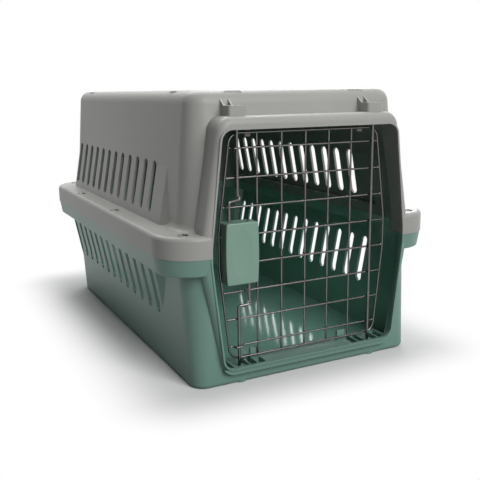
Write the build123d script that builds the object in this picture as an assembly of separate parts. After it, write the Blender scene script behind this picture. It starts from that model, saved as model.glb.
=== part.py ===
# Bird travel carrier: two moulded half shells bolted at a flange, a welded wire door
# with a squeeze latch, and a fold-flat carry handle in the roof.
# X is across, -Y is the door side, +Z is up. Millimetres. The origin is the centre of
# the footprint, on the surface that the carrier stands on.
# Fronts, backs, planes and depths are measured behind the front plane.
import os
from math import cos, radians, sin, tan

from build123d import *

os.makedirs("parts", exist_ok=True)

# ---- overall size ----
flange_width = 320.0
carrier_length = 480.0
carrier_height = 290.0
wall = 3.0
fit_gap = 0.4                # between mouldings that nest
weld_gap = 0.05              # between wires laid against each other
running_gap = 0.07           # radial, round rods and pins

# ---- flange band where the shells meet ----
seam_height = 134.0
band_height = 22.0           # upper shell, from the seam to the top of the flange
skirt_depth = 17.5           # lower shell, below the seam
skirt_inset = 0.5
skirt_draft = 9.0            # degrees, inwards towards its foot
skirt_edge_radius = 2.0
flange_front_radius = 40.0
flange_rear_radius = 45.0
flange_edge_radius = 4.5
lip_height = 12.0            # upper shell's lip below the flange top
base_fillet = 7.0

# ---- upper shell body, at the top face of the flange: insets are from the flange's edge ----
upper_side_inset = 28.5
upper_front = 18.0
upper_rear_inset = 20.0
upper_side_draft = 5.0       # degrees
upper_front_draft = 5.5
upper_rear_draft = 3.0
upper_corner = 30.0
roof_corner = 19.0
roof_edge_radius = 14.0

# ---- lower shell body, sizes at the floor and at the seam ----
floor_side_inset = 28.5
floor_front = 7.0
floor_rear_inset = 34.0
floor_front_corner = 15.0
floor_rear_corner = 28.0
floor_edge_radius = 4.0
lower_side_inset = 24.0
lower_front = 9.0
lower_rear_inset = 16.0
lower_front_corner = 30.0
lower_rear_corner = 38.0

# ---- vent panels: they stand out from the side walls towards the flange ----
upper_panel_out = 5.8        # at the top face of the flange
upper_panel_draft = 10.6
upper_panel_front = 79.0
upper_panel_rise = 72.0
lower_panel_out = 11.0       # at the seam
lower_panel_draft = 10.8
lower_panel_front = 86.0
lower_panel_drop = 86.0
panel_rear_inset = 27.0      # from the back of the body
panel_front_slope = 23.0     # degrees, of the ramps into the wall
panel_rear_slope = 65.0
panel_edge_radius = 5.0
slot_margin = 9.0            # from the last slot to the rear ramp
upper_slot_first = 88.0
upper_slot_pitch = 27.7
upper_slot_width = 12.5
upper_slot_lift = 0.5        # above the fillet on the flange
upper_slot_drop = 72.0       # below the roof
lower_slot_first = 100.5
lower_slot_pitch = 27.2
lower_slot_width = 11.0
lower_slot_low = 55.6
lower_slot_drop = 5.5        # below the skirt

# ---- portal: the collar round the doorway, insets are from the flange's edge ----
portal_top_inset = 57.0
portal_mid_inset = 38.0
portal_bottom_inset = 57.5
portal_drop = 24.0           # below the roof
portal_mid_drop = 18.0       # below the seam
portal_bottom = 12.0
portal_corner = 15.0
portal_bend = 60.0
portal_edge_radius = 8.0
portal_depth = 52.0
rim_thickness = 3.5
rim_top_margin = 2.4         # from the portal's outline to the opening, sideways
rim_mid_margin = 8.5
rim_bottom_margin = 1.4
rim_head = 12.4              # the same, over the opening and under it
rim_foot = 7.2
rim_mid_rise = 8.0           # its sides are upright this far from the seam
rim_corner = 11.0
bead_width = 1.8             # round the opening
bead_height = 1.0

# ---- sill ----
sill_height = 18.5
sill_back = 32.0
sill_core_front = 21.5       # hollows under the sill, open beneath
sill_core_top = 9.5
sill_cores = 3
sill_core_rib = 3.0
pocket_front = 5.5
pocket_back = 27.0
pocket_offset = 4.0          # from the rod to the pocket's middle
pocket_width = 44.0
pocket_ribs = 4
pocket_rib = 1.8
well_front = 12.5
well_floor = 6.0
stop_thickness = 3.0         # tabs that keep the door from swinging inwards
sill_stop_shifts = (21.0, 31.0)
sill_stop_gap = 0.55         # behind the upright wires
sill_stop_width = 10.0
sill_stop_rise = 10.5
ceiling_stop_shift = 14.0
ceiling_stop_gap = 0.4       # behind the frame wire
ceiling_stop_width = 6.0
ceiling_stop_drop = 17.0

# ---- door ----
door_plane = 16.75
grid_wire = 2.0              # diameter
frame_wire = 2.1
rod_wire = 3.0
door_head_gap = 3.6          # from the opening to the frame wire
door_foot_gap = 3.8
door_top_margin = 16.5       # from the portal's outline, sideways
door_mid_margin = 22.7
door_bottom_margin = 13.5
door_shoulder = 2.0
door_hip = 3.0
door_corner = 12.0
door_bend = 30.0
bar_pitch = 28.5
bar_shift = 0.6              # the bars' middle, below the frame's
upright_pitch = 28.0
rod_inset = 6.5              # from the door's top corner to its rods
jog_half = 3.4               # the end bars step over the latch rods
jog_run = 2.4
jog_bend = 1.3

# ---- keepers above the doorway, bosses under it ----
keeper_half = 9.5
keeper_wall = 2.0            # in front of the rod
keeper_round = 2.5
keeper_rise = 9.5            # above the portal
keeper_rib = 2.0
keeper_rib_rise = 9.0
keeper_rib_run = 7.0         # in front of the wall
keeper_rib_root = 4.0        # how far the ribs reach into the roof edge
boss_radius = 7.5
boss_bottom = 0.4
bolt_throw = 7.0
bolt_clearance = 1.0         # from the drawn-back tips to the shells
bore_room = 2.0              # beyond the thrown tips

# ---- latch ----
latch_half_width = 16.9      # at its ends
latch_bulge = 1.2            # more than that at the middle
latch_height = 61.5
latch_drop = 1.4             # its middle, below the gap between the bars
latch_depth = 12.5
latch_wall = 1.8
latch_corner = 2.2
latch_edge = 1.3
latch_base_thickness = 2.4
leg_setback = 4.15           # from the housing's back to the legs
leg_spread = 10.5            # the bolts' legs stand each side of the latch's middle
leg_show = 1.5               # past the housing with the bolts drawn back
crank_reach = 19.4           # from the housing to the corner at the leg
crank_rise = 5.8             # the wire kicks out and back over this height
crank_kick = 4.0
crank_lift = 1.8
crank_bend = 1.9
guide_height = 6.5
guide_half = 3.6
collar_radius = 2.9
collar_height = 2.5
collar_place = 30.0          # from the housing's end to the collar
spring_wire = 0.7
spring_radius = 2.3
spring_turns = 5
post_radius = 2.4
post_spread = 6.5
thumb_width = 23.0
thumb_height = 48.0
thumb_depth = 1.0

# ---- fasteners of the flange: inset from its side, and place along it ----
closure_front_inset = 24.5
closure_front = 19.0
closure_side_inset = 9.6
closure_side_shares = (0.396, 0.7125)
closure_rear_inset = 29.5
closure_rear = 18.5
closure_shank = 2.0          # radius
closure_hole = 2.2
closure_sink = 5.6           # the heads sit in round sinks
closure_sink_depth = 1.2
closure_head = 4.4
closure_head_height = 2.2
closure_head_round = 1.6
closure_boss_bite = 0.8      # how far the bosses run into the band's wall
nut_across = 7.0
nut_height = 3.2
shank_overhang = 1.5

# ---- carry handle and the tray that it folds into ----
handle_length = 149.2
handle_arm = 12.0
handle_thick = 12.0
handle_reach = 50.0
handle_grip = 16.0
handle_round = 3.0
handle_corner = 9.0
handle_axis_depth = 9.0      # below the roof
recess_gap = 0.4
recess_finger_room = 12.0
recess_heel_room = 6.0
recess_corner = 5.0
tray_rim = 6.4               # beyond the recess
tray_rim_thickness = 1.5
handle_pin = 2.5             # radius
pin_boss_half = 6.0
pin_boss_length = 6.0

# ---- moulded recesses along the roof edge ----
edge_recess_length = 20.0
edge_recess_radius = 3.5
edge_recess_depth = 1.8
edge_recess_angle = 60.0     # degrees, up round the edge
edge_recess_shift = 7.5      # from the rod, towards the middle
edge_recess_front = 90.0
edge_recess_rear_inset = 82.0

# ---- places worked out from the sizes above ----
half_width = flange_width / 2
half_length = carrier_length / 2
flange_top = seam_height + band_height
skirt_bottom = seam_height - skirt_depth
lip_bottom = flange_top - lip_height
plate_under = seam_height - wall
closure_boss = closure_side_inset - wall + closure_boss_bite
roof_under = carrier_height - wall

upper_half = half_width - upper_side_inset
upper_back = carrier_length - upper_rear_inset
floor_half = half_width - floor_side_inset
floor_back = carrier_length - floor_rear_inset
lower_half = half_width - lower_side_inset
lower_back = carrier_length - lower_rear_inset
upper_panel_half = upper_half + upper_panel_out
lower_panel_half = lower_half + lower_panel_out
upper_panel_back = upper_back - panel_rear_inset
lower_panel_back = lower_back - panel_rear_inset
upper_slot_count = int((upper_panel_back - upper_slot_first - slot_margin) / upper_slot_pitch) + 1
lower_slot_count = int((lower_panel_back - lower_slot_first - slot_margin) / lower_slot_pitch) + 1
upper_slot_low = flange_top + base_fillet + upper_slot_lift
upper_slot_high = carrier_height - upper_slot_drop
lower_slot_high = skirt_bottom - lower_slot_drop

portal_top_half = half_width - portal_top_inset
portal_mid_half = half_width - portal_mid_inset
portal_bottom_half = half_width - portal_bottom_inset
portal_top = carrier_height - portal_drop
portal_mid_high = flange_top
portal_mid_low = seam_height - portal_mid_drop
ceiling = portal_top - wall
pocket_floor = portal_bottom + wall
rim_top_half = portal_top_half - rim_top_margin
rim_mid_half = portal_mid_half - rim_mid_margin
rim_bottom_half = portal_bottom_half - rim_bottom_margin
rim_top = portal_top - rim_head
rim_bottom = portal_bottom + rim_foot

door_top = rim_top - door_head_gap
door_bottom = rim_bottom + door_foot_gap
door_top_half = portal_top_half - door_top_margin
door_mid_half = portal_mid_half - door_mid_margin
door_bottom_half = portal_bottom_half - door_bottom_margin
door_mid_high = portal_mid_high - door_shoulder
door_mid_low = portal_mid_low + door_hip
door_y = door_plane - half_length
bar_count = round((door_top - door_bottom) / bar_pitch)
bar_middle = (door_top + door_bottom) / 2 - bar_shift
upright_count = int(2 * door_top_half / upright_pitch) - 1
upright_y = door_y + (frame_wire + grid_wire) / 2 + weld_gap
rod_side = door_top_half - rod_inset         # hinge rod at +X, latch rods at -X
rod_plane = door_plane - (frame_wire + rod_wire) / 2 - weld_gap
rod_y = rod_plane - half_length
jog_depth = (frame_wire + rod_wire) / 2 + (grid_wire + rod_wire) / 2 + 3 * weld_gap
pocket_centre = rod_side - pocket_offset
sill_stops = (sill_stop_shifts[0] - rod_side, rod_side - sill_stop_shifts[1])
sill_stop_front = door_plane + frame_wire / 2 + grid_wire + weld_gap + sill_stop_gap
ceiling_stops = (ceiling_stop_shift - rod_side, rod_side - ceiling_stop_shift)
ceiling_stop_front = door_plane + frame_wire / 2 + ceiling_stop_gap

keeper_top = portal_top + keeper_rise
keeper_front = rod_plane - rod_wire / 2 - running_gap - keeper_wall
upper_tip = ceiling - bolt_clearance
lower_tip = pocket_floor + bolt_clearance
bore_top = upper_tip + bolt_throw + bore_room
bore_bottom = lower_tip - bolt_throw - bore_room
gap_middle = bar_middle + ((bar_count - 1) / 2 - (bar_count // 2 - 0.5)) * bar_pitch
latch_middle = gap_middle - latch_drop
latch_low = latch_middle - latch_height / 2
latch_high = latch_middle + latch_height / 2
latch_back = door_plane - frame_wire / 2 - weld_gap
latch_front = latch_back - latch_depth
base_front = door_plane + frame_wire / 2 + weld_gap
leg_plane = latch_back - leg_setback
leg_y = leg_plane - half_length

handle_axis = carrier_height - handle_axis_depth
recess_floor = handle_axis - handle_thick / 2 - recess_gap


def behind(distance):
    return distance - half_length


def slab(low, high):
    return Pos(0, 0, (low + high) / 2) * Box(2 * flange_width, 2 * carrier_length, high - low)


def block(left, right, front, back, low, high):
    centre = Pos((left + right) / 2, behind((front + back) / 2), (low + high) / 2)
    return centre * Box(right - left, back - front, high - low)


def upright_pin(x, y, radius, low, high):
    return Pos(x, y, (low + high) / 2) * Cylinder(radius, high - low)


def cross_pin(x, z, radius, near, far):
    return Pos(x, (near + far) / 2, z) * Rot(90, 0, 0) * Cylinder(radius, far - near)


# ---- plan outlines of the shells ----
def plan(half_width, front, back, front_radius, rear_radius, height):
    sheet = Pos(0, behind((front + back) / 2)) * Rectangle(2 * half_width, back - front)
    sheet = fillet(sheet.vertices().sort_by(Axis.Y)[:2], front_radius)
    sheet = fillet(sheet.vertices().sort_by(Axis.Y)[-2:], rear_radius)
    return Pos(0, 0, height) * sheet


def upper_plan(height, inset=0.0):
    rise = height - flange_top
    share = rise / (carrier_height - flange_top)
    corner = upper_corner + (roof_corner - upper_corner) * share - inset
    return plan(upper_half - rise * tan(radians(upper_side_draft)) - inset,
                upper_front + rise * tan(radians(upper_front_draft)) + inset,
                upper_back - rise * tan(radians(upper_rear_draft)) - inset,
                corner, corner, height)


def lower_plan(height, inset=0.0):
    share = height / seam_height
    return plan(floor_half + (lower_half - floor_half) * share - inset,
                floor_front + (lower_front - floor_front) * share + inset,
                floor_back + (lower_back - floor_back) * share - inset,
                floor_front_corner + (lower_front_corner - floor_front_corner) * share - inset,
                floor_rear_corner + (lower_rear_corner - floor_rear_corner) * share - inset,
                height)


def tongue_plan(grow):
    # the lower shell's tongue stands just outside the upper shell's lip
    return Pos(0, 0, seam_height - lip_bottom) * upper_plan(lip_bottom, -fit_gap - grow)


def upper_body(low, high, inset=0.0):
    body = loft([upper_plan(low, inset), upper_plan(high, inset)], ruled=True)
    return fillet(body.faces().sort_by(Axis.Z)[-1].edges(), roof_edge_radius - inset)


def lower_body(low, high, inset=0.0):
    body = loft([lower_plan(low, inset), lower_plan(high, inset)], ruled=True)
    return fillet(body.faces().sort_by(Axis.Z)[0].edges(), floor_edge_radius - inset)


def band_plan(height, inset):
    return plan(half_width - inset, inset, carrier_length - inset, flange_front_radius - inset,
                flange_rear_radius - inset, height)


def band_block(inset, low, high):
    return extrude(band_plan(low, inset), amount=high - low)


def skirt_block(inset, low, high):
    # the lower shell's share of the band leans in towards its foot
    lean = tan(radians(skirt_draft))
    return loft([band_plan(low, skirt_inset + inset + (seam_height - low) * lean),
                 band_plan(high, skirt_inset + inset + (seam_height - high) * lean)], ruled=True)


# ---- vent panels and slots ----
def vent_panel(side, half, front, back, draft, foot, rise, root, inset):
    # a sheared wedge: its outer face leans by the draft, its ends ramp into the wall
    front += inset * tan(radians(panel_front_slope / 2))
    back -= inset * tan(radians(panel_rear_slope / 2))
    outer = side * (half - inset)
    inner = side * (half - inset - root)
    outline = Polyline((outer, behind(front)), (outer, behind(back)),
                       (inner, behind(back + root / tan(radians(panel_rear_slope)))),
                       (inner, behind(front - root / tan(radians(panel_front_slope)))), close=True)
    way = Vector(-side * tan(radians(draft)) * abs(rise), 0, rise)
    panel = extrude(Pos(0, 0, foot) * make_face(outline), amount=way.length, dir=way.normalized())
    leaning = panel.edges().filter_by(lambda edge: abs((edge % 0.5).Z) > 0.5)
    return fillet(leaning.sort_by(lambda edge: side * (edge @ 0.5).X)[-2:], panel_edge_radius - inset)


def upper_panels(inset=0.0):
    root = upper_panel_half - upper_half + 2 * wall
    return [vent_panel(side, upper_panel_half, upper_panel_front, upper_panel_back, upper_panel_draft,
                       flange_top, upper_panel_rise, root, inset) for side in (-1, 1)]


def lower_panels(inset=0.0):
    root = lower_panel_half - lower_half + 2 * wall
    return [vent_panel(side, lower_panel_half, lower_panel_front, lower_panel_back, lower_panel_draft,
                       seam_height, -lower_panel_drop, root, inset) for side in (-1, 1)]


def side_slots(first, pitch, count, width, low, high):
    # a row of upright slots through both side walls
    slots = []
    reach = half_width
    for number in range(count):
        for side in (-1, 1):
            place = Plane(origin=(side * reach, behind(first + number * pitch), (low + high) / 2),
                          x_dir=(0, 0, 1), z_dir=(-side, 0, 0))
            slots.append(extrude(place * SlotOverall(high - low, width), amount=reach / 3))
    return slots


# ---- doorway outlines ----
def doorway(top_half, mid_half, bottom_half, top, mid_high, mid_low, bottom, corner, bend):
    points = [(-bottom_half, bottom), (bottom_half, bottom), (mid_half, mid_low), (mid_half, mid_high),
              (top_half, top), (-top_half, top), (-mid_half, mid_high), (-mid_half, mid_low)]
    sheet = make_face(Polyline(*points, close=True))
    sheet = fillet(sheet.vertices().filter_by(lambda vertex: abs(abs(vertex.X) - mid_half) < 0.01), bend)
    ends = sheet.vertices().filter_by(lambda vertex: min(abs(vertex.Y - top), abs(vertex.Y - bottom)) < 0.01)
    return fillet(ends, corner)


def stand(sheet, front, back):
    # an outline in X and Z, run backwards from one depth to another
    place = Plane(origin=(0, behind(front), 0), x_dir=(1, 0, 0), z_dir=(0, -1, 0))
    return extrude(place * sheet, amount=back - front, dir=(0, 1, 0))


portal_outline = doorway(portal_top_half, portal_mid_half, portal_bottom_half, portal_top,
                         portal_mid_high, portal_mid_low, portal_bottom, portal_corner, portal_bend)
rim_outline = doorway(rim_top_half, rim_mid_half, rim_bottom_half, rim_top,
                      seam_height + rim_mid_rise, seam_height - rim_mid_rise, rim_bottom,
                      rim_corner, portal_bend)
door_outline = doorway(door_top_half, door_mid_half, door_bottom_half, door_top,
                       door_mid_high, door_mid_low, door_bottom, door_corner, door_bend)
portal_block = stand(portal_outline, bead_height, portal_depth)
portal_block = fillet(portal_block.faces().sort_by(Axis.Y)[0].edges(), portal_edge_radius)
portal_block += stand(offset(rim_outline, bead_width), 0, rim_thickness)
portal_hollow = stand(offset(portal_outline, -wall, kind=Kind.INTERSECTION),
                      rim_thickness, portal_depth + wall)
rim_opening = stand(rim_outline, -wall, rim_thickness + wall)


def closure_points():
    places = [(half_width - closure_front_inset, closure_front)]
    places += [(half_width - closure_side_inset, share * carrier_length) for share in closure_side_shares]
    places += [(half_width - closure_rear_inset, carrier_length - closure_rear)]
    return [(side * x, behind(y)) for side in (-1, 1) for x, y in places]


# ---- upper shell ----
def front_wall(height):
    return upper_front + (height - flange_top) * tan(radians(upper_front_draft))


def keeper(side):
    # a block on the collar that takes a rod's end, braced to the roof edge by two ribs
    middle = side * rod_side
    body = block(middle - keeper_half, middle + keeper_half, keeper_front,
                 front_wall(keeper_top) + wall, ceiling, keeper_top)
    body = fillet(body.edges().filter_by(Axis.Z).sort_by(Axis.Y)[:2], keeper_round)
    rib_top = keeper_top + keeper_rib_rise
    front = front_wall(keeper_top) - keeper_rib_run
    root = front_wall(rib_top) + keeper_rib_root
    profile = make_face(Polyline((behind(front), keeper_top - wall), (behind(front), keeper_top),
                                 (behind(root), rib_top), (behind(root), keeper_top - wall), close=True))
    for place in (-keeper_half, -keeper_rib / 2):
        body += extrude(Plane.YZ.offset(middle + place) * profile, amount=keeper_rib)
    return body


def handle_recess(grow, low, high):
    left = -handle_thick / 2 - recess_heel_room - grow
    right = handle_reach + recess_finger_room + grow
    half = handle_length / 2 + recess_gap + grow
    box = Pos((left + right) / 2, 0, (low + high) / 2) * Box(right - left, 2 * half, high - low)
    return fillet(box.edges().filter_by(Axis.Z), recess_corner + grow)


def dish(x, y, height, turn):
    # a short round-ended groove that lies along the roof edge
    half = edge_recess_length / 2 - edge_recess_radius
    groove = Rot(0, 90, 0) * Cylinder(edge_recess_radius, 2 * half)
    groove += [Pos(end * half, 0, 0) * Sphere(edge_recess_radius) for end in (-1, 1)]
    return Pos(x, y, height) * Rot(0, 0, turn) * groove


def edge_recesses():
    # the groove's axis stands off the rounded edge by its radius, less its depth
    reach = roof_edge_radius + edge_recess_radius - edge_recess_depth
    out = roof_edge_radius - reach * cos(radians(edge_recess_angle))
    height = carrier_height - roof_edge_radius + reach * sin(radians(edge_recess_angle))
    level = carrier_height - roof_edge_radius
    flank = upper_half - (level - flange_top) * tan(radians(upper_side_draft)) - out
    dishes = []
    for side in (-1, 1):
        place = side * (rod_side - edge_recess_shift)
        dishes.append(dish(place, behind(front_wall(level) + out), height, 0))
        for place in (edge_recess_front, carrier_length - edge_recess_rear_inset):
            dishes.append(dish(side * flank, behind(place), height, 90))
    return dishes


def base_edges(shell):
    # where the body stands on the flange
    level = shell.edges().filter_by(lambda edge: max(abs((edge @ share).Z - flange_top)
                                                     for share in (0, 0.5, 1)) < 0.01)
    return level.filter_by(lambda edge: abs((edge @ 0.5).X) < upper_panel_half + 1
                           and behind(upper_front - 1) < (edge @ 0.5).Y < behind(upper_back + 1))


def make_upper_shell():
    band = band_block(0, seam_height, flange_top)
    band = fillet(band.faces().sort_by(Axis.Z)[-1].edges(), flange_edge_radius)
    shell = band + upper_body(flange_top - wall, carrier_height)
    shell = fillet(base_edges(shell), base_fillet)
    shell += upper_panels()
    shell += portal_block & slab(seam_height, carrier_height)
    shell += [keeper(side) for side in (-1, 1)]

    lip = loft([upper_plan(lip_bottom), upper_plan(flange_top)], ruled=True)
    under = band_block(wall, seam_height, flange_top - wall) - lip
    shell -= under - (portal_block & slab(seam_height, flange_top))
    shell -= lip & slab(0, lip_bottom)
    shell += [upright_pin(x, y, closure_boss, seam_height, flange_top - wall / 2)
              for x, y in closure_points()]
    shell -= [upright_pin(x, y, closure_hole, 0, carrier_height) for x, y in closure_points()]
    shell -= [upright_pin(x, y, closure_sink, flange_top - closure_sink_depth, flange_top + wall)
              for x, y in closure_points()]

    shell -= upper_body(seam_height - wall, roof_under, wall)
    shell -= upper_panels(wall)
    shell -= portal_hollow
    shell -= rim_opening
    shell -= handle_recess(wall + fit_gap, roof_under - wall, carrier_height + wall)
    shell -= handle_recess(tray_rim + fit_gap, carrier_height - tray_rim_thickness, carrier_height + wall)
    shell += [block(x - ceiling_stop_width / 2, x + ceiling_stop_width / 2, ceiling_stop_front,
                    ceiling_stop_front + stop_thickness, ceiling - ceiling_stop_drop, ceiling + wall / 2)
              for x in ceiling_stops]
    shell -= [upright_pin(side * rod_side, rod_y, rod_wire / 2 + running_gap, ceiling - wall, bore_top)
              for side in (-1, 1)]
    shell -= edge_recesses()
    return shell - side_slots(upper_slot_first, upper_slot_pitch, upper_slot_count, upper_slot_width,
                              upper_slot_low, upper_slot_high)


# ---- lower shell ----
def sill():
    # a ledge behind the rim, with ribbed pockets at both ends and stops for the door
    ledge = stand(portal_outline, rim_thickness / 2, sill_back) & slab(portal_bottom, sill_height)
    ledge += block(wall - portal_bottom_half, portal_bottom_half - wall, floor_front + wall / 2,
                   sill_back, wall / 2, sill_height)
    for side in (-1, 1):
        left = side * pocket_centre - pocket_width / 2
        ledge -= block(left, left + pocket_width, pocket_front, pocket_back, pocket_floor,
                       sill_height + wall)
        ledge -= block(left, left + pocket_width, well_front, pocket_back, well_floor, sill_height)
        spacing = pocket_width / (pocket_ribs + 1)
        for number in range(pocket_ribs):
            middle = left + spacing * (number + 1)
            if abs(middle - side * rod_side) > rod_wire + pocket_rib:
                ledge += block(middle - pocket_rib / 2, middle + pocket_rib / 2, pocket_front, pocket_back,
                               pocket_floor, sill_height)
                ledge += block(middle - pocket_rib / 2, middle + pocket_rib / 2, well_front, pocket_back,
                               well_floor, sill_height)
        ledge += upright_pin(side * rod_side, rod_y, boss_radius, boss_bottom, pocket_floor)
    ledge += [block(x - sill_stop_width / 2, x + sill_stop_width / 2, sill_stop_front,
                    sill_stop_front + stop_thickness, well_floor, sill_height + sill_stop_rise)
              for x in sill_stops]
    return ledge


def sill_hollows():
    # between the pockets
    left = pocket_width / 2 - pocket_centre + wall
    width = (-2 * left - (sill_cores - 1) * sill_core_rib) / sill_cores
    starts = [left + number * (width + sill_core_rib) for number in range(sill_cores)]
    return [block(start, start + width, sill_core_front, sill_back - wall, -wall, sill_core_top)
            for start in starts]


def make_lower_shell():
    shell = skirt_block(0, skirt_bottom, seam_height)
    shell = fillet(shell.faces().sort_by(Axis.Z)[0].edges(), skirt_edge_radius)
    shell -= skirt_block(wall, skirt_bottom - wall, plate_under)
    shell += lower_body(0, seam_height)
    shell += lower_panels()
    shell += portal_block & slab(0, seam_height)
    shell -= lower_body(wall, seam_height, wall) & slab(0, plate_under)
    shell -= [panel & slab(0, plate_under) for panel in lower_panels(wall)]
    tongue = extrude(tongue_plan(wall), amount=flange_top - wall - fit_gap - seam_height)
    tongue -= stand(offset(portal_outline, fit_gap, kind=Kind.INTERSECTION), -wall, portal_depth + wall)
    shell += tongue
    shell -= Pos(0, 0, -wall) * extrude(tongue_plan(0), amount=carrier_height)
    shell -= portal_hollow
    shell += sill()
    shell -= rim_opening
    shell -= sill_hollows()
    shell -= [upright_pin(side * rod_side, rod_y, rod_wire / 2 + running_gap, bore_bottom, sill_height)
              for side in (-1, 1)]
    shell -= [upright_pin(x, y, closure_hole, skirt_bottom, flange_top) for x, y in closure_points()]
    return shell - side_slots(lower_slot_first, lower_slot_pitch, lower_slot_count, lower_slot_width,
                              lower_slot_low, lower_slot_high)


# ---- flange fasteners ----
def closure_bolts():
    bolts = []
    low = plate_under - nut_height - shank_overhang
    seat = flange_top - closure_sink_depth
    for x, y in closure_points():
        head = upright_pin(x, y, closure_head, seat, seat + closure_head_height)
        head = fillet(head.edges().sort_by(Axis.Z)[-1], closure_head_round)
        bolts.append(head + upright_pin(x, y, closure_shank, low, seat + closure_head_height / 2))
    return bolts


def closure_nuts():
    nuts = []
    for x, y in closure_points():
        outline = RegularPolygon(nut_across / 2, 6, major_radius=False, rotation=30)
        blank = extrude(Pos(x, y, plate_under - nut_height) * outline, amount=nut_height)
        nuts.append(blank - upright_pin(x, y, closure_shank + weld_gap, skirt_bottom, seam_height))
    return nuts


# ---- door ----
def door_half(height):
    if height > door_mid_high:
        share = (height - door_mid_high) / (door_top - door_mid_high)
        return door_mid_half + (door_top_half - door_mid_half) * share
    share = max(0.0, (door_mid_low - height) / (door_mid_low - door_bottom))
    return door_mid_half + (door_bottom_half - door_mid_half) * share


def wire_along(path, diameter):
    return sweep(Plane(origin=path @ 0, z_dir=path % 0) * Circle(diameter / 2), path=path)


def door_frame():
    place = Plane(origin=(0, door_y, 0), x_dir=(1, 0, 0), z_dir=(0, -1, 0))
    return wire_along((place * door_outline).wire(), frame_wire)


def door_bar(height, jogged):
    half = min(door_half(height - grid_wire / 2), door_half(height + grid_wire / 2))
    half -= frame_wire / 2 + weld_gap
    if not jogged:
        return Pos(0, door_y, height) * Rot(0, 90, 0) * Cylinder(grid_wire / 2, 2 * half)
    path = FilletPolyline((-half, door_y, height),
                          (-rod_side - jog_half - jog_run, door_y, height),
                          (-rod_side - jog_half, door_y - jog_depth, height),
                          (-rod_side + jog_half, door_y - jog_depth, height),
                          (-rod_side + jog_half + jog_run, door_y, height),
                          (half, door_y, height), radius=jog_bend)
    return wire_along(path, grid_wire)


def bar_height(number):
    return bar_middle + ((bar_count - 1) / 2 - number) * bar_pitch


def upright_place(number):
    return (number - (upright_count - 1) / 2) * upright_pitch


def hinge_rod():
    return upright_pin(rod_side, rod_y, rod_wire / 2, bore_bottom + weld_gap, bore_top - bore_room / 2)


# ---- latch ----
def latch_block(front, back, inset=0.0):
    # its sides bow out a little
    half = latch_half_width - inset
    tall = latch_height / 2 - inset
    bow = half + latch_bulge
    outline = [ThreePointArc((half, -tall), (bow, 0), (half, tall)), Line((half, tall), (-half, tall)),
               ThreePointArc((-half, tall), (-bow, 0), (-half, -tall)), Line((-half, -tall), (half, -tall))]
    shape = make_face(outline)
    shape = fillet(shape.vertices(), latch_corner - inset)
    return Pos(-rod_side, 0, latch_middle) * stand(shape, front, back)


def thumb_dish():
    # a shallow oval, cut by a barrel with an upright axis
    radius = ((thumb_width / 2) ** 2 + thumb_depth ** 2) / (2 * thumb_depth)
    flat = radius - thumb_depth
    top = thumb_height / 2
    profile = make_face([ThreePointArc((flat, -top), (radius, 0), (flat, top)),
                         Polyline((flat, top), (0, top), (0, -top), (flat, -top))])
    barrel = revolve(Plane.XZ * profile, axis=Axis.Z)
    return Pos(-rod_side, behind(latch_front - flat), latch_middle) * barrel


def leg_place(direction):
    return -rod_side - direction * leg_spread


def posts(grow=0.0):
    near = behind(latch_front + thumb_depth + latch_wall / 2)
    far = behind(base_front + latch_base_thickness)
    return [cross_pin(-rod_side, latch_middle + end * post_spread, post_radius + grow, near, far)
            for end in (-1, 1)]


def latch_cover():
    body = latch_block(latch_front, latch_back)
    body = fillet(body.faces().sort_by(Axis.Y)[0].edges(), latch_edge)
    body -= thumb_dish()
    body -= latch_block(latch_front + latch_wall + thumb_depth, latch_back + latch_wall, latch_wall)
    guide = latch_wall + guide_height
    for direction in (-1, 1):
        x = leg_place(direction)
        for low, high in ((latch_low + latch_wall / 2, latch_low + guide),
                          (latch_high - guide, latch_high - latch_wall / 2)):
            body += block(x - guide_half, x + guide_half, latch_front + thumb_depth + latch_wall / 2,
                          leg_plane + guide_half, low, high)
        body -= upright_pin(x, leg_y, rod_wire / 2 + running_gap, latch_low - wall, latch_high + wall)
    return body + posts()


def latch_base():
    plate = latch_block(base_front, base_front + latch_base_thickness)
    plate = fillet(plate.faces().sort_by(Axis.Y)[-1].edges(), latch_base_thickness / 2)
    return plate - posts(weld_gap)


def bolt(direction):
    # a rod at the door's edge, a crank that kicks out and back, and a leg through the housing
    housing_end = latch_high if direction > 0 else latch_low
    far_end = latch_low if direction > 0 else latch_high
    leg = (leg_place(direction), leg_y, far_end - direction * leg_show)
    rod = (-rod_side, rod_y, upper_tip if direction > 0 else lower_tip)
    low, high = (leg, rod) if direction > 0 else (rod, leg)
    corner = housing_end + direction * crank_reach
    if direction < 0:
        corner -= crank_rise
    path = FilletPolyline(low, (low[0], low[1], corner),
                          (high[0] + crank_kick, high[1], corner + crank_lift),
                          (high[0], high[1], corner + crank_rise), high, radius=crank_bend)
    seat = far_end + direction * collar_place
    collar = sorted((seat, seat + direction * collar_height))
    return wire_along(path, rod_wire) + upright_pin(leg[0], leg_y, collar_radius, *collar)


def spring(direction):
    # between a guide in the housing and the bolt's collar
    far_end = latch_low if direction > 0 else latch_high
    seat = far_end + direction * (latch_wall + guide_height)
    length = collar_place - latch_wall - guide_height
    low = min(seat, seat + direction * length) + spring_wire / 2
    rise = length - spring_wire
    path = Helix(rise / spring_turns, rise, spring_radius)
    return Pos(leg_place(direction), leg_y, low) * wire_along(path, spring_wire)


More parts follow.
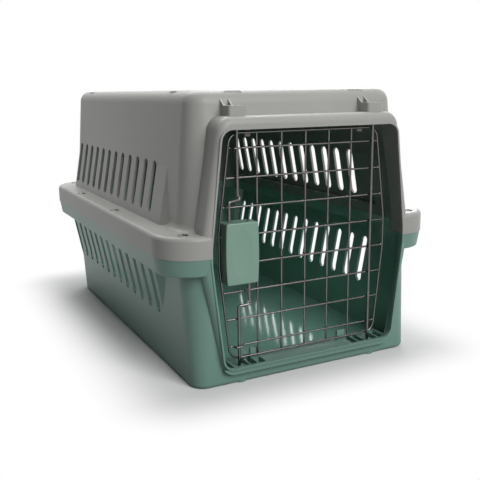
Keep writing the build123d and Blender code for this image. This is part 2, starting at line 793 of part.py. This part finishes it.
# ---- carry handle ----
def carry_handle():
    half = handle_length / 2
    heel = handle_thick / 2
    inside = handle_reach - handle_grip
    bail = Pos((handle_reach - heel) / 2, 0, handle_axis) * Box(handle_reach + heel, 2 * half, handle_thick)
    opening = Pos(inside / 2 - heel, 0, handle_axis) * Box(
        inside + handle_thick, 2 * (half - handle_arm), 2 * handle_thick)
    bail -= fillet(opening.edges().filter_by(Axis.Z), recess_corner)
    bail = fillet(bail.edges().filter_by(Axis.Z).sort_by(Axis.X)[-2:], handle_corner)
    ends = bail.edges().filter_by(Axis.Y).filter_by(lambda edge: (edge @ 0.5).X < 1 - heel)
    bail = fillet(ends, heel - weld_gap)
    flats = bail.faces().filter_by(Axis.Z).edges()
    bail = fillet(flats.filter_by(lambda edge: (edge @ 0.5).X > heel), handle_round)
    return bail - cross_pin(0, handle_axis, handle_pin + running_gap, -2 * half, 2 * half)


def handle_tray():
    # drops into the roof and snaps under it with the two bosses that hold the pins
    tray = handle_recess(wall, recess_floor - wall, carrier_height - tray_rim_thickness / 2)
    tray += handle_recess(tray_rim, carrier_height - tray_rim_thickness, carrier_height)
    middle = handle_length / 2 + recess_gap + wall + pin_boss_length / 2
    boss_low = handle_axis - pin_boss_half
    boss_high = roof_under - fit_gap
    for end in (-1, 1):
        tray += Pos(0, end * (middle - wall / 2), (boss_low + boss_high) / 2) * Box(
            2 * pin_boss_half, pin_boss_length + wall, boss_high - boss_low)
    tray -= handle_recess(0, recess_floor, carrier_height + wall)
    return tray - cross_pin(0, handle_axis, handle_pin, -middle - pin_boss_length, middle + pin_boss_length)


def handle_pins():
    near = handle_length / 2 - handle_arm + recess_gap
    far = handle_length / 2 + recess_gap + wall + pin_boss_length
    return [cross_pin(0, handle_axis, handle_pin, *sorted((end * near, end * far))) for end in (-1, 1)]


nodes = {
    "upper_shell": make_upper_shell(),
    "lower_shell": make_lower_shell(),
    "closure_bolts": Compound(children=closure_bolts()),
    "closure_nuts": Compound(children=closure_nuts()),
    "door_frame_wire": door_frame(),
    "hinge_rod": hinge_rod(),
    "latch_cover": latch_cover(),
    "latch_base": latch_base(),
    "upper_bolt": bolt(1),
    "lower_bolt": bolt(-1),
    "upper_spring": spring(1),
    "lower_spring": spring(-1),
    "handle_tray": handle_tray(),
    "carry_handle": carry_handle(),
    "handle_pins": Compound(children=handle_pins()),
}
for number in range(bar_count):
    jogged = number in (0, bar_count - 1)
    nodes[f"door_bar_{number + 1}"] = door_bar(bar_height(number), jogged)
for number in range(upright_count):
    nodes[f"door_upright_{number + 1}"] = upright_pin(
        upright_place(number), upright_y, grid_wire / 2, door_bottom, door_top)

for name, shape in nodes.items():
    print(name, shape.is_valid, len(shape.solids()), round(shape.volume))
    export_step(shape, f"parts/{name}.step")
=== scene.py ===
from math import cos, hypot, radians, sin

import bpy
from mathutils import Matrix, Vector


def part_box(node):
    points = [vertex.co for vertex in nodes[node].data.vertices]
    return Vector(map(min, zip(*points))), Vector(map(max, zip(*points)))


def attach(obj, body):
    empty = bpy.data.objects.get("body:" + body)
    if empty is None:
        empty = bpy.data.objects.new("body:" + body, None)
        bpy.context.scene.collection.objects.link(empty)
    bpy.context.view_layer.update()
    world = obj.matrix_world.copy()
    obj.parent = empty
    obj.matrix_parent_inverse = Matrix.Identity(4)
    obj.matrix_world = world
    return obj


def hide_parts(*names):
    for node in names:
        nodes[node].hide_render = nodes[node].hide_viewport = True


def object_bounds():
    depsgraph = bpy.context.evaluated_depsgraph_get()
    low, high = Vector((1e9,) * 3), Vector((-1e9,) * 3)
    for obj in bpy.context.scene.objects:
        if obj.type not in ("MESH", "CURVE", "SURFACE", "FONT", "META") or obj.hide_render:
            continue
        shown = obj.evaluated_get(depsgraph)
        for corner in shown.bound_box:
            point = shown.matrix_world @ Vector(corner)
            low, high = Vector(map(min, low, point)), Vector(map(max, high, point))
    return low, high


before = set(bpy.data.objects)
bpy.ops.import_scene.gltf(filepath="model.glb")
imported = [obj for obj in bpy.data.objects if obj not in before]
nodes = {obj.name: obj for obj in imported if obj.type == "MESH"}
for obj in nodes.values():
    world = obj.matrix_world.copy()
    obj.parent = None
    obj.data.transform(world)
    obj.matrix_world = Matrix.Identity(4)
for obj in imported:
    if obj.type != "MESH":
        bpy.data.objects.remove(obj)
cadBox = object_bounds()


def linearColour(code):
    # a hex colour, turned to the linear values that a shader takes
    parts = [int(code[place:place + 2], 16) / 255 for place in (1, 3, 5)]
    return [part / 12.92 if part <= 0.04045 else ((part + 0.055) / 1.055) ** 2.4 for part in parts] + [1.0]


def addNode(tree, kind, inputs=None, **settings):
    # an input is a value of its own or the output of another node
    node = tree.nodes.new(kind)
    for name, value in settings.items():
        setattr(node, name, value)
    for name, value in (inputs or {}).items():
        if isinstance(value, bpy.types.NodeSocket):
            tree.links.new(value, node.inputs[name])
        else:
            node.inputs[name].default_value = value
    return node


def addMath(tree, operation, first, second):
    return addNode(tree, "ShaderNodeMath", {0: first, 1: second}, operation=operation).outputs["Value"]


def addVectorMath(tree, operation, *sides, output="Vector"):
    node = addNode(tree, "ShaderNodeVectorMath", dict(enumerate(sides)), operation=operation)
    return node.outputs[output]


def addVector(tree, **axes):
    return addNode(tree, "ShaderNodeCombineXYZ", axes).outputs["Vector"]


def addNoise(tree, place, size, detail):
    # size is the width of one patch, in metres
    node = addNode(tree, "ShaderNodeTexNoise", {"Vector": place, "Scale": 1 / size, "Detail": detail})
    return node.outputs["Fac"]


def addRange(tree, value, low, high):
    # 0 becomes low and 1 becomes high
    node = addNode(tree, "ShaderNodeMapRange", {"Value": value, "To Min": low, "To Max": high})
    return node.outputs["Result"]


def addMix(tree, share, first, second, kind="FLOAT"):
    node = addNode(tree, "ShaderNodeMix", {"Factor": share, "A": first, "B": second}, data_type=kind)
    return node.outputs["Result"]


def newMaterial(name):
    material = bpy.data.materials.new(name)
    material.use_nodes = True
    material.node_tree.nodes.clear()
    return material, material.node_tree


def finishMaterial(tree, inputs):
    shader = addNode(tree, "ShaderNodeBsdfPrincipled", inputs)
    addNode(tree, "ShaderNodeOutputMaterial", {"Surface": shader.outputs["BSDF"]})


# every plastic here is moulded, so all share one grain and one slow drift of the surface
mouldedLook = {
    "grainSize": 0.0011,         # metres: coarser than spark-eroded steel leaves it, so that it shows
    "grainDepth": 0.00002,
    "grainDetail": 2.0,
    "flowSize": 0.09,            # patches left by uneven cooling
    "flowDetail": 3.0,
    "speckSize": 0.0024,         # pigment that did not mix quite evenly
    "speckDetail": 2.0,
    "speckShare": 0.12,
    "satinDrift": (-0.05, 0.06),
    "refraction": 1.49,          # polypropylene and ABS are both close to this
    "heart": (0.0, 0.0, 0.14),   # a face that looks towards this point is inside the carrier
    "polishFrom": -0.206,        # the sill and the doorway, in front of here, are textured too
}


def insideFaces(tree, place):
    # 1 on the polished faces inside the carrier, 0 on the textured ones outside; the inside ones also take a
    # tone of painted light and shade
    outwards = addVectorMath(tree, "SUBTRACT", place.outputs["Object"], mouldedLook["heart"])
    facing = addVectorMath(tree, "DOT_PRODUCT", outwards, place.outputs["Normal"], output="Value")
    inwards = addMath(tree, "LESS_THAN", facing, 0.0)
    axes = addNode(tree, "ShaderNodeSeparateXYZ", {"Vector": place.outputs["Object"]})
    behind = addMath(tree, "GREATER_THAN", axes.outputs["Y"], mouldedLook["polishFrom"])
    return addMath(tree, "MULTIPLY", inwards, behind)


def mouldedPlastic(name, look):
    # injection moulded: an even colour, soft broad highlights over a fine grain, glossier on the inside faces
    # that the mould's inner half formed; those faces also take a tone of painted light and shade
    material, tree = newMaterial(name)
    place = addNode(tree, "ShaderNodeTexCoord")
    spot = place.outputs["Object"]
    inside = insideFaces(tree, place)
    flow = addNoise(tree, spot, mouldedLook["flowSize"], mouldedLook["flowDetail"])
    speck = addNoise(tree, spot, mouldedLook["speckSize"], mouldedLook["speckDetail"])
    fine = addNoise(tree, spot, mouldedLook["grainSize"], mouldedLook["grainDetail"])
    blend = addMix(tree, mouldedLook["speckShare"], flow, speck)
    outer = addMix(tree, blend, linearColour(look["deep"]), linearColour(look["pale"]), "RGBA")
    # the inside faces take the painted inside tone: painted light and shade inside the carrier, not a colour
    # of the resin
    tone = addMix(tree, inside, outer, linearColour(look["paintedInsideTone"]), "RGBA")
    least, most = (look["satin"] + drift for drift in mouldedLook["satinDrift"])
    rough = addMix(tree, inside, addRange(tree, flow, least, most), look["polish"])
    grain = addRange(tree, inside, look["grain"], 0.0)
    bump = addNode(tree, "ShaderNodeBump",
                   {"Strength": grain, "Distance": mouldedLook["grainDepth"], "Height": fine})
    finishMaterial(tree, {
        "Base Color": tone, "Roughness": rough, "Normal": bump.outputs["Normal"],
        "IOR": mouldedLook["refraction"], "Specular IOR Level": look["shine"]})
    return material


# drawn or rolled steel under its coating
platedLook = {
    "patchDetail": 4.0,
    "polishDrift": (-0.06, 0.08),
    "rippleDetail": 1.0,
    "rippleStrength": 0.15,
}


def platedSteel(name, look):
    # sharp streaky highlights along the wire, slightly dull in patches
    material, tree = newMaterial(name)
    spot = addNode(tree, "ShaderNodeTexCoord").outputs["Object"]
    patch = addNoise(tree, spot, look["mottle"], platedLook["patchDetail"])
    ripple = addNoise(tree, spot, look["ripple"], platedLook["rippleDetail"])
    tone = addMix(tree, patch, linearColour(look["deep"]), linearColour(look["pale"]), "RGBA")
    least, most = (look["polish"] + drift for drift in platedLook["polishDrift"])
    bump = addNode(tree, "ShaderNodeBump",
                   {"Strength": platedLook["rippleStrength"], "Distance": look["depth"], "Height": ripple})
    finishMaterial(tree, {
        "Base Color": tone, "Roughness": addRange(tree, patch, least, most), "Normal": bump.outputs["Normal"],
        "Metallic": 1.0})
    return material


# satin and soft, with hardly a highlight on the broad faces; its inside faces are painted darker and greener,
# as painted shade tinted by the green shell
greyShell = mouldedPlastic("greyPolypropylene", {
    "pale": "#A9A9A5", "deep": "#9D9D9A", "paintedInsideTone": "#8A9188",
    "satin": 0.38, "polish": 0.16, "grain": 0.6, "shine": 0.28})
# a cool sage green whose smooth floor mirrors the slots; its inside faces are painted paler, as painted light
# inside the carrier
greenShell = mouldedPlastic("greenPolypropylene", {
    "pale": "#76998C", "deep": "#6C8E83", "paintedInsideTone": "#7FB1A1",
    "satin": 0.4, "polish": 0.1, "grain": 0.6, "shine": 0.42})
# harder and glossier than the shells, as the parts are that a hand works; its inside faces are painted at the
# darker tone, as painted shade
greenLatch = mouldedPlastic("glossyGreenAbs", {
    "pale": "#82A394", "deep": "#7A9B8C", "paintedInsideTone": "#7A9B8C",
    "satin": 0.26, "polish": 0.26, "grain": 0.25, "shine": 0.5})
# thin dark lines with a bright edge
wirePlate = platedSteel("nickelPlatedWire", {
    "pale": "#7C7A79", "deep": "#605E5D",
    "polish": 0.24, "mottle": 0.012, "ripple": 0.006, "depth": 0.00003})
# a duller grey, under a film of oil
springSteel = platedSteel("oiledSpringSteel", {
    "pale": "#8D8C8A", "deep": "#6F6E6C",
    "polish": 0.3, "mottle": 0.004, "ripple": 0.003, "depth": 0.00002})
# dark dots on the flange that glint at the rim of the head
blackSteel = platedSteel("blackenedSteelScrew", {
    "pale": "#6E6C69", "deep": "#454340",
    "polish": 0.34, "mottle": 0.003, "ripple": 0.002, "depth": 0.00002})
# the palest metal here, on the nuts and pins
zincPlate = platedSteel("zincPlatedSteel", {
    "pale": "#A9A8A3", "deep": "#86857F",
    "polish": 0.3, "mottle": 0.003, "ripple": 0.002, "depth": 0.00002})
print("materials made")

# every node that is not named here is door wire
finishOf = {
    "upper_shell": greyShell, "lower_shell": greenShell, "handle_tray": greyShell,
    "closure_bolts": blackSteel, "closure_nuts": zincPlate, "handle_pins": zincPlate,
    "latch_cover": greenLatch, "latch_base": greenLatch, "carry_handle": greenLatch,
    "upper_spring": springSteel, "lower_spring": springSteel,
}
for name, node in nodes.items():
    for slot in node.material_slots:
        slot.material = finishOf.get(name, wirePlate)
print("CAD nodes finished")


def startTree(name, sockets):
    # a Geometry Nodes tree with its inputs named, and the identifier of each one by name
    tree = bpy.data.node_groups.new(name, "GeometryNodeTree")
    tree.interface.new_socket("Geometry", in_out="OUTPUT", socket_type="NodeSocketGeometry")
    tree.interface.new_socket("Geometry", in_out="INPUT", socket_type="NodeSocketGeometry")
    identifiers = {}
    for socket, kind in sockets.items():
        made = tree.interface.new_socket(socket, in_out="INPUT", socket_type="NodeSocket" + kind)
        identifiers[socket] = made.identifier
    return tree, tree.nodes.new("NodeGroupInput").outputs, identifiers


def endTree(tree, given, shape, **placing):
    # one copy of the shape on each point, then plain, smooth, finished mesh
    copies = addNode(tree, "GeometryNodeInstanceOnPoints",
                     {"Points": given["Geometry"], "Instance": shape, **placing})
    plain = addNode(tree, "GeometryNodeRealizeInstances", {"Geometry": copies.outputs["Instances"]})
    smooth = addNode(tree, "GeometryNodeSetShadeSmooth", {"Geometry": plain.outputs["Geometry"]})
    finished = addNode(tree, "GeometryNodeSetMaterial",
                       {"Geometry": smooth.outputs["Geometry"], "Material": given["Material"]})
    addNode(tree, "NodeGroupOutput", {"Geometry": finished.outputs["Geometry"]})


def growPiece(name, points, tree, identifiers, values, body):
    # the tree grows the piece on the points; what is left is one plain mesh that rides on the body
    seeds = bpy.data.meshes.new(name)
    seeds.from_pydata(points, [], [])
    piece = bpy.data.objects.new(name, seeds)
    bpy.context.collection.objects.link(piece)
    modifier = piece.modifiers.new("grow", "NODES")
    modifier.node_group = tree
    for socket, value in values.items():
        modifier[identifiers[socket]] = value
    evaluated = piece.evaluated_get(bpy.context.evaluated_depsgraph_get())
    grown = bpy.data.meshes.new_from_object(evaluated)
    piece.modifiers.clear()
    piece.data = grown
    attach(piece, body)
    print(name, len(grown.polygons), "faces")
    return piece


screwLook = {
    "headRadius": 0.0044,
    "headHeight": 0.0022,
    "shankRadius": 0.002,
    "crown": 0.24,           # how far the head's rim draws in at its top, as a share of its radius
    "crownTurn": 3.0,        # the rim stays upright below and turns in near the top
    "dome": 0.22,            # how far the rim drops below the middle, as a share of the head's height
    "domeTurn": 2.0,         # the top is nearly flat in the middle and falls faster near the rim
    "recessReach": 0.66,     # arms of the cross, as a share of the head's radius
    "recessWidth": 0.0015,
    "recessDepth": 0.0014,
    "headSides": 40,
    "headRings": 5,
    "topRings": 4,
    "shankSides": 20,
    "slivers": 0.000005,     # the recess leaves some edges shorter than this, which close up
    "seed": 7,               # each was driven to an angle of its own
    "apart": 0.02,           # no two screws stand as near as this
}


def screwPlaces():
    # middle of each bolt, read from the solids that the screws replace
    groups = []
    for vertex in nodes["closure_bolts"].data.vertices:
        near = [group for group in groups
                if hypot(group[0].x - vertex.co.x, group[0].y - vertex.co.y) < screwLook["apart"]]
        if near:
            near[0].append(vertex.co)
        else:
            groups.append([vertex.co])
    places = []
    for group in groups:
        xs = [point.x for point in group]
        ys = [point.y for point in group]
        places.append(((min(xs) + max(xs)) / 2, (min(ys) + max(ys)) / 2))
    return places


def domedHead(tree, given):
    # a short cylinder whose top draws in at the rim and falls away from the middle
    head = addNode(tree, "GeometryNodeMeshCylinder", {
        "Vertices": screwLook["headSides"], "Side Segments": screwLook["headRings"],
        "Fill Segments": screwLook["topRings"], "Radius": given["Head Radius"],
        "Depth": given["Head Height"]}, fill_type="TRIANGLE_FAN")
    position = addNode(tree, "GeometryNodeInputPosition").outputs["Position"]
    axes = addNode(tree, "ShaderNodeSeparateXYZ", {"Vector": position}).outputs
    rise = addMath(tree, "DIVIDE", axes["Z"], given["Head Height"])
    rise = addMath(tree, "ADD", rise, 0.5)
    rise = addMath(tree, "POWER", rise, screwLook["crownTurn"])
    draw = addMath(tree, "MULTIPLY", rise, -screwLook["crown"])
    flat = addVector(tree, X=axes["X"], Y=axes["Y"])
    span = addVectorMath(tree, "LENGTH", flat, output="Value")
    share = addMath(tree, "DIVIDE", span, given["Head Radius"])
    share = addMath(tree, "POWER", share, screwLook["domeTurn"])
    drop = addMath(tree, "MULTIPLY", share, rise)
    drop = addMath(tree, "MULTIPLY", drop, given["Head Height"])
    drop = addMath(tree, "MULTIPLY", drop, -screwLook["dome"])
    sideways = addNode(tree, "ShaderNodeVectorMath", {0: flat, "Scale": draw}, operation="SCALE")
    shift = addVectorMath(tree, "ADD", sideways.outputs["Vector"], addVector(tree, Z=drop))
    domed = addNode(tree, "GeometryNodeSetPosition", {"Geometry": head.outputs["Mesh"], "Offset": shift})
    return domed.outputs["Geometry"]


def crossRecess(tree, given, head):
    # two crossed bars cut from the top of the head
    top = addVector(tree, Z=addMath(tree, "MULTIPLY", given["Head Height"], 0.5))
    reach = addMath(tree, "MULTIPLY", given["Head Radius"], 2 * screwLook["recessReach"])
    depth = addMath(tree, "MULTIPLY", given["Recess Depth"], 2.0)
    cut = addNode(tree, "GeometryNodeMeshBoolean", {"Mesh 1": head}, operation="DIFFERENCE", solver="EXACT")
    for along, across in (("X", "Y"), ("Y", "X")):
        size = addVector(tree, **{along: reach, across: given["Recess Width"], "Z": depth})
        arm = addNode(tree, "GeometryNodeMeshCube", {"Size": size})
        placed = addNode(tree, "GeometryNodeTransform", {"Geometry": arm.outputs["Mesh"], "Translation": top})
        tree.links.new(placed.outputs["Geometry"], cut.inputs["Mesh 2"])
    clean = addNode(tree, "GeometryNodeMergeByDistance",
                    {"Geometry": cut.outputs["Mesh"], "Distance": screwLook["slivers"]})
    return clean.outputs["Geometry"]


def plainShank(tree, given):
    shank = addNode(tree, "GeometryNodeMeshCylinder", {
        "Vertices": screwLook["shankSides"], "Radius": given["Shank Radius"], "Depth": given["Shank Length"]})
    both = addMath(tree, "ADD", given["Shank Length"], given["Head Height"])
    below = addVector(tree, Z=addMath(tree, "MULTIPLY", both, -0.5))
    lowered = addNode(tree, "GeometryNodeTransform",
                      {"Geometry": shank.outputs["Mesh"], "Translation": below})
    return lowered.outputs["Geometry"]


def screwTree():
    tree, given, identifiers = startTree("panHeadScrew", {
        "Head Radius": "Float", "Head Height": "Float", "Shank Radius": "Float", "Shank Length": "Float",
        "Recess Width": "Float", "Recess Depth": "Float", "Material": "Material"})
    screw = addNode(tree, "GeometryNodeJoinGeometry")
    for part in (crossRecess(tree, given, domedHead(tree, given)), plainShank(tree, given)):
        tree.links.new(part, screw.inputs["Geometry"])
    turn = addNode(tree, "FunctionNodeRandomValue",
                   {"Min": 0.0, "Max": radians(90), "Seed": screwLook["seed"]}, data_type="FLOAT")
    endTree(tree, given, screw.outputs["Geometry"], Rotation=addVector(tree, Z=turn.outputs["Value"]))
    return tree, identifiers


def makeScrews():
    low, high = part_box("closure_bolts")
    tree, identifiers = screwTree()
    points = [(x, y, high[2] - screwLook["headHeight"] / 2) for x, y in screwPlaces()]
    screws = growPiece("closure_screws", points, tree, identifiers, {
        "Head Radius": screwLook["headRadius"], "Head Height": screwLook["headHeight"],
        "Shank Radius": screwLook["shankRadius"], "Shank Length": high[2] - low[2] - screwLook["headHeight"],
        "Recess Width": screwLook["recessWidth"], "Recess Depth": screwLook["recessDepth"],
        "Material": blackSteel}, "carrier")
    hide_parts("closure_bolts")


weldLook = {
    "radius": 0.0014,        # a resistance weld squeezes the crossed wires into a small flat nugget
    "flatness": 0.8,
    "spread": 0.18,          # how much the nuggets differ in size
    "seed": 3,
    "rounding": 2,
}


def weldTree():
    tree, given, identifiers = startTree("resistanceWelds", {
        "Radius": "Float", "Flatness": "Float", "Spread": "Float", "Seed": "Int", "Material": "Material"})
    nugget = addNode(tree, "GeometryNodeMeshIcoSphere",
                     {"Subdivisions": weldLook["rounding"], "Radius": given["Radius"]})
    flattened = addNode(tree, "GeometryNodeTransform", {
        "Geometry": nugget.outputs["Mesh"], "Scale": addVector(tree, X=1.0, Y=given["Flatness"], Z=1.0)})
    size = addNode(tree, "FunctionNodeRandomValue", {
        "Min": addMath(tree, "SUBTRACT", 1.0, given["Spread"]),
        "Max": addMath(tree, "ADD", 1.0, given["Spread"]), "Seed": given["Seed"]}, data_type="FLOAT")
    endTree(tree, given, flattened.outputs["Geometry"], Scale=size.outputs["Value"])
    return tree, identifiers


def boxMiddle(name):
    low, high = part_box(name)
    return [(low[axis] + high[axis]) / 2 for axis in range(3)]


def makeWelds():
    # one nugget at each crossing of the grid and at each end where a wire meets the frame
    bars = sorted(name for name in nodes if name.startswith("door_bar_"))
    uprights = sorted(name for name in nodes if name.startswith("door_upright_"))
    frameLow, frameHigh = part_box("door_frame_wire")
    wire = (frameHigh[1] - frameLow[1]) / 2
    middleBar = bars[len(bars) // 2 - 1]
    barPlane = boxMiddle(middleBar)[1]
    crossing = (barPlane + boxMiddle(uprights[0])[1]) / 2
    points = []
    for bar in bars:
        low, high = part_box(bar)
        height = boxMiddle(bar)[2]
        points += [(boxMiddle(upright)[0], crossing, height) for upright in uprights]
        points += [(low[0] + wire, barPlane, height), (high[0] - wire, barPlane, height)]
    for upright in uprights:
        across = boxMiddle(upright)[0]
        points += [(across, crossing, frameLow[2] + wire), (across, crossing, frameHigh[2] - wire)]
    tree, identifiers = weldTree()
    growPiece("door_welds", points, tree, identifiers, {
        "Radius": weldLook["radius"], "Flatness": weldLook["flatness"], "Spread": weldLook["spread"],
        "Seed": weldLook["seed"], "Material": wirePlate}, "door")


makeScrews()
makeWelds()
print("detail pieces made")

studio = {
    "floorHalf": 6.0,
    "floorBounce": 0.25,     # what the floor throws back on the object
    "paintedFloorShade": "#E2E2E2",  # painted shade: the paper seen directly is greyer than white near the foot
    "floorMatt": 0.4,
    "background": "#FFFFFF",
    "footInset": 0.01,       # the body's foot lies this far inside the overall box, in metres
    "shadowReach": 0.085,    # metres from the foot to where the shadow and the painted shade have faded into the white
    "skyLevel": 0.06,        # the soft light from all round
}


def seenDirectly(tree):
    # 1 for what is looked at or mirrored, 0 for the light that it gives
    ray = addNode(tree, "ShaderNodeLightPath").outputs
    seen = addMath(tree, "MAXIMUM", ray["Is Camera Ray"], ray["Is Glossy Ray"])
    return addMath(tree, "MAXIMUM", seen, ray["Is Transmission Ray"])


def floorMaterial():
    # matt white paper: it keeps the shadow near the foot, deepened there by a painted shade, and fades into
    # the plain white all round
    material, tree = newMaterial("whitePaperSweep")
    seen = seenDirectly(tree)
    bounce = studio["floorBounce"]
    # seen directly, the paper near the foot is greyed as a painted shade around the foot; the lamps see only
    # the bounce grey
    tone = addMix(tree, seen, (bounce, bounce, bounce, 1), linearColour(studio["paintedFloorShade"]), "RGBA")
    paper = addNode(tree, "ShaderNodeBsdfDiffuse", {"Roughness": studio["floorMatt"], "Color": tone})
    place = addNode(tree, "ShaderNodeTexCoord").outputs["Object"]
    footprint = (cadBox[1][0] - studio["footInset"], cadBox[1][1] - studio["footInset"], 0.0)
    folded = addVectorMath(tree, "ABSOLUTE", place)
    past = addVectorMath(tree, "SUBTRACT", folded, footprint)
    past = addVectorMath(tree, "MAXIMUM", past, (0, 0, 0))
    away = addVectorMath(tree, "LENGTH", past, output="Value")
    fade = addNode(tree, "ShaderNodeMapRange", {"Value": away, "From Max": studio["shadowReach"]},
                   interpolation_type="SMOOTHSTEP")
    share = addMath(tree, "MULTIPLY", fade.outputs["Result"], seen)
    white = addNode(tree, "ShaderNodeEmission",
                    {"Color": linearColour(studio["background"]), "Strength": 1.0})
    shader = addNode(tree, "ShaderNodeMixShader",
                     {0: share, 1: paper.outputs["BSDF"], 2: white.outputs["Emission"]})
    addNode(tree, "ShaderNodeOutputMaterial", {"Surface": shader.outputs["Shader"]})
    return material


def makeFloor():
    reach = studio["floorHalf"]
    mesh = bpy.data.meshes.new("floor")
    corners = [(-reach, -reach, 0), (reach, -reach, 0), (reach, reach, 0), (-reach, reach, 0)]
    mesh.from_pydata(corners, [], [(0, 1, 2, 3)])
    floor = bpy.data.objects.new("floor", mesh)
    bpy.context.collection.objects.link(floor)
    mesh.materials.append(floorMaterial())


def makeWorld():
    world = bpy.data.worlds.new("studio")
    bpy.context.scene.world = world
    world.use_nodes = True
    tree = world.node_tree
    tree.nodes.clear()
    level = addRange(tree, seenDirectly(tree), studio["skyLevel"], 1.0)
    shine = addNode(tree, "ShaderNodeBackground",
                    {"Color": linearColour(studio["background"]), "Strength": level})
    addNode(tree, "ShaderNodeOutputWorld", {"Surface": shine.outputs["Background"]})


# a large soft key from the doorway's side, a larger lamp above the rear, a weak one behind on the right
lampTarget = (0.0, 0.0, 0.14)
lampSettings = [
    # name, place in metres, width, height, watts
    ("frontKey", (0.28, -2.1, 1.45), 1.5, 1.5, 46.0),
    ("overhead", (0.25, 1.0, 1.95), 1.8, 1.8, 47.0),
    ("rearFill", (1.5, 1.9, 0.9), 1.0, 1.0, 12.0),
]


def makeLamps():
    for name, place, width, height, watts in lampSettings:
        lamp = bpy.data.lights.new(name, "AREA")
        lamp.shape = "RECTANGLE"
        lamp.size = width
        lamp.size_y = height
        lamp.energy = watts
        holder = bpy.data.objects.new(name, lamp)
        holder.location = place
        towards = Vector(lampTarget) - Vector(place)
        holder.rotation_euler = towards.to_track_quat("-Z", "Y").to_euler()
        bpy.context.collection.objects.link(holder)


cameraSettings = {
    "place": (-0.37174, -0.80873, 0.28865),
    "turn": 26.77,           # degrees, towards +X from straight along +Y
    "tilt": 12.32,           # down
    "roll": -0.69,
    "lens": 51.16,
    "nearest": 0.01,
}


def makeCamera():
    turn, tilt, roll = (radians(cameraSettings[name]) for name in ("turn", "tilt", "roll"))
    forward = Vector((sin(turn) * cos(tilt), cos(turn) * cos(tilt), -sin(tilt)))
    right = Vector((cos(turn), -sin(turn), 0))
    up = right.cross(forward)
    side = right * cos(roll) + up * sin(roll)
    top = up * cos(roll) - right * sin(roll)
    lens = bpy.data.cameras.new("camera")
    lens.lens = cameraSettings["lens"]
    lens.clip_start = cameraSettings["nearest"]
    camera = bpy.data.objects.new("camera", lens)
    axes = Matrix((side, top, -forward)).transposed().to_4x4()
    camera.matrix_world = Matrix.Translation(cameraSettings["place"]) @ axes
    bpy.context.collection.objects.link(camera)
    bpy.context.scene.camera = camera


makeFloor()
makeWorld()
makeLamps()
makeCamera()
bpy.context.scene.view_settings.view_transform = "Standard"
print("studio set")
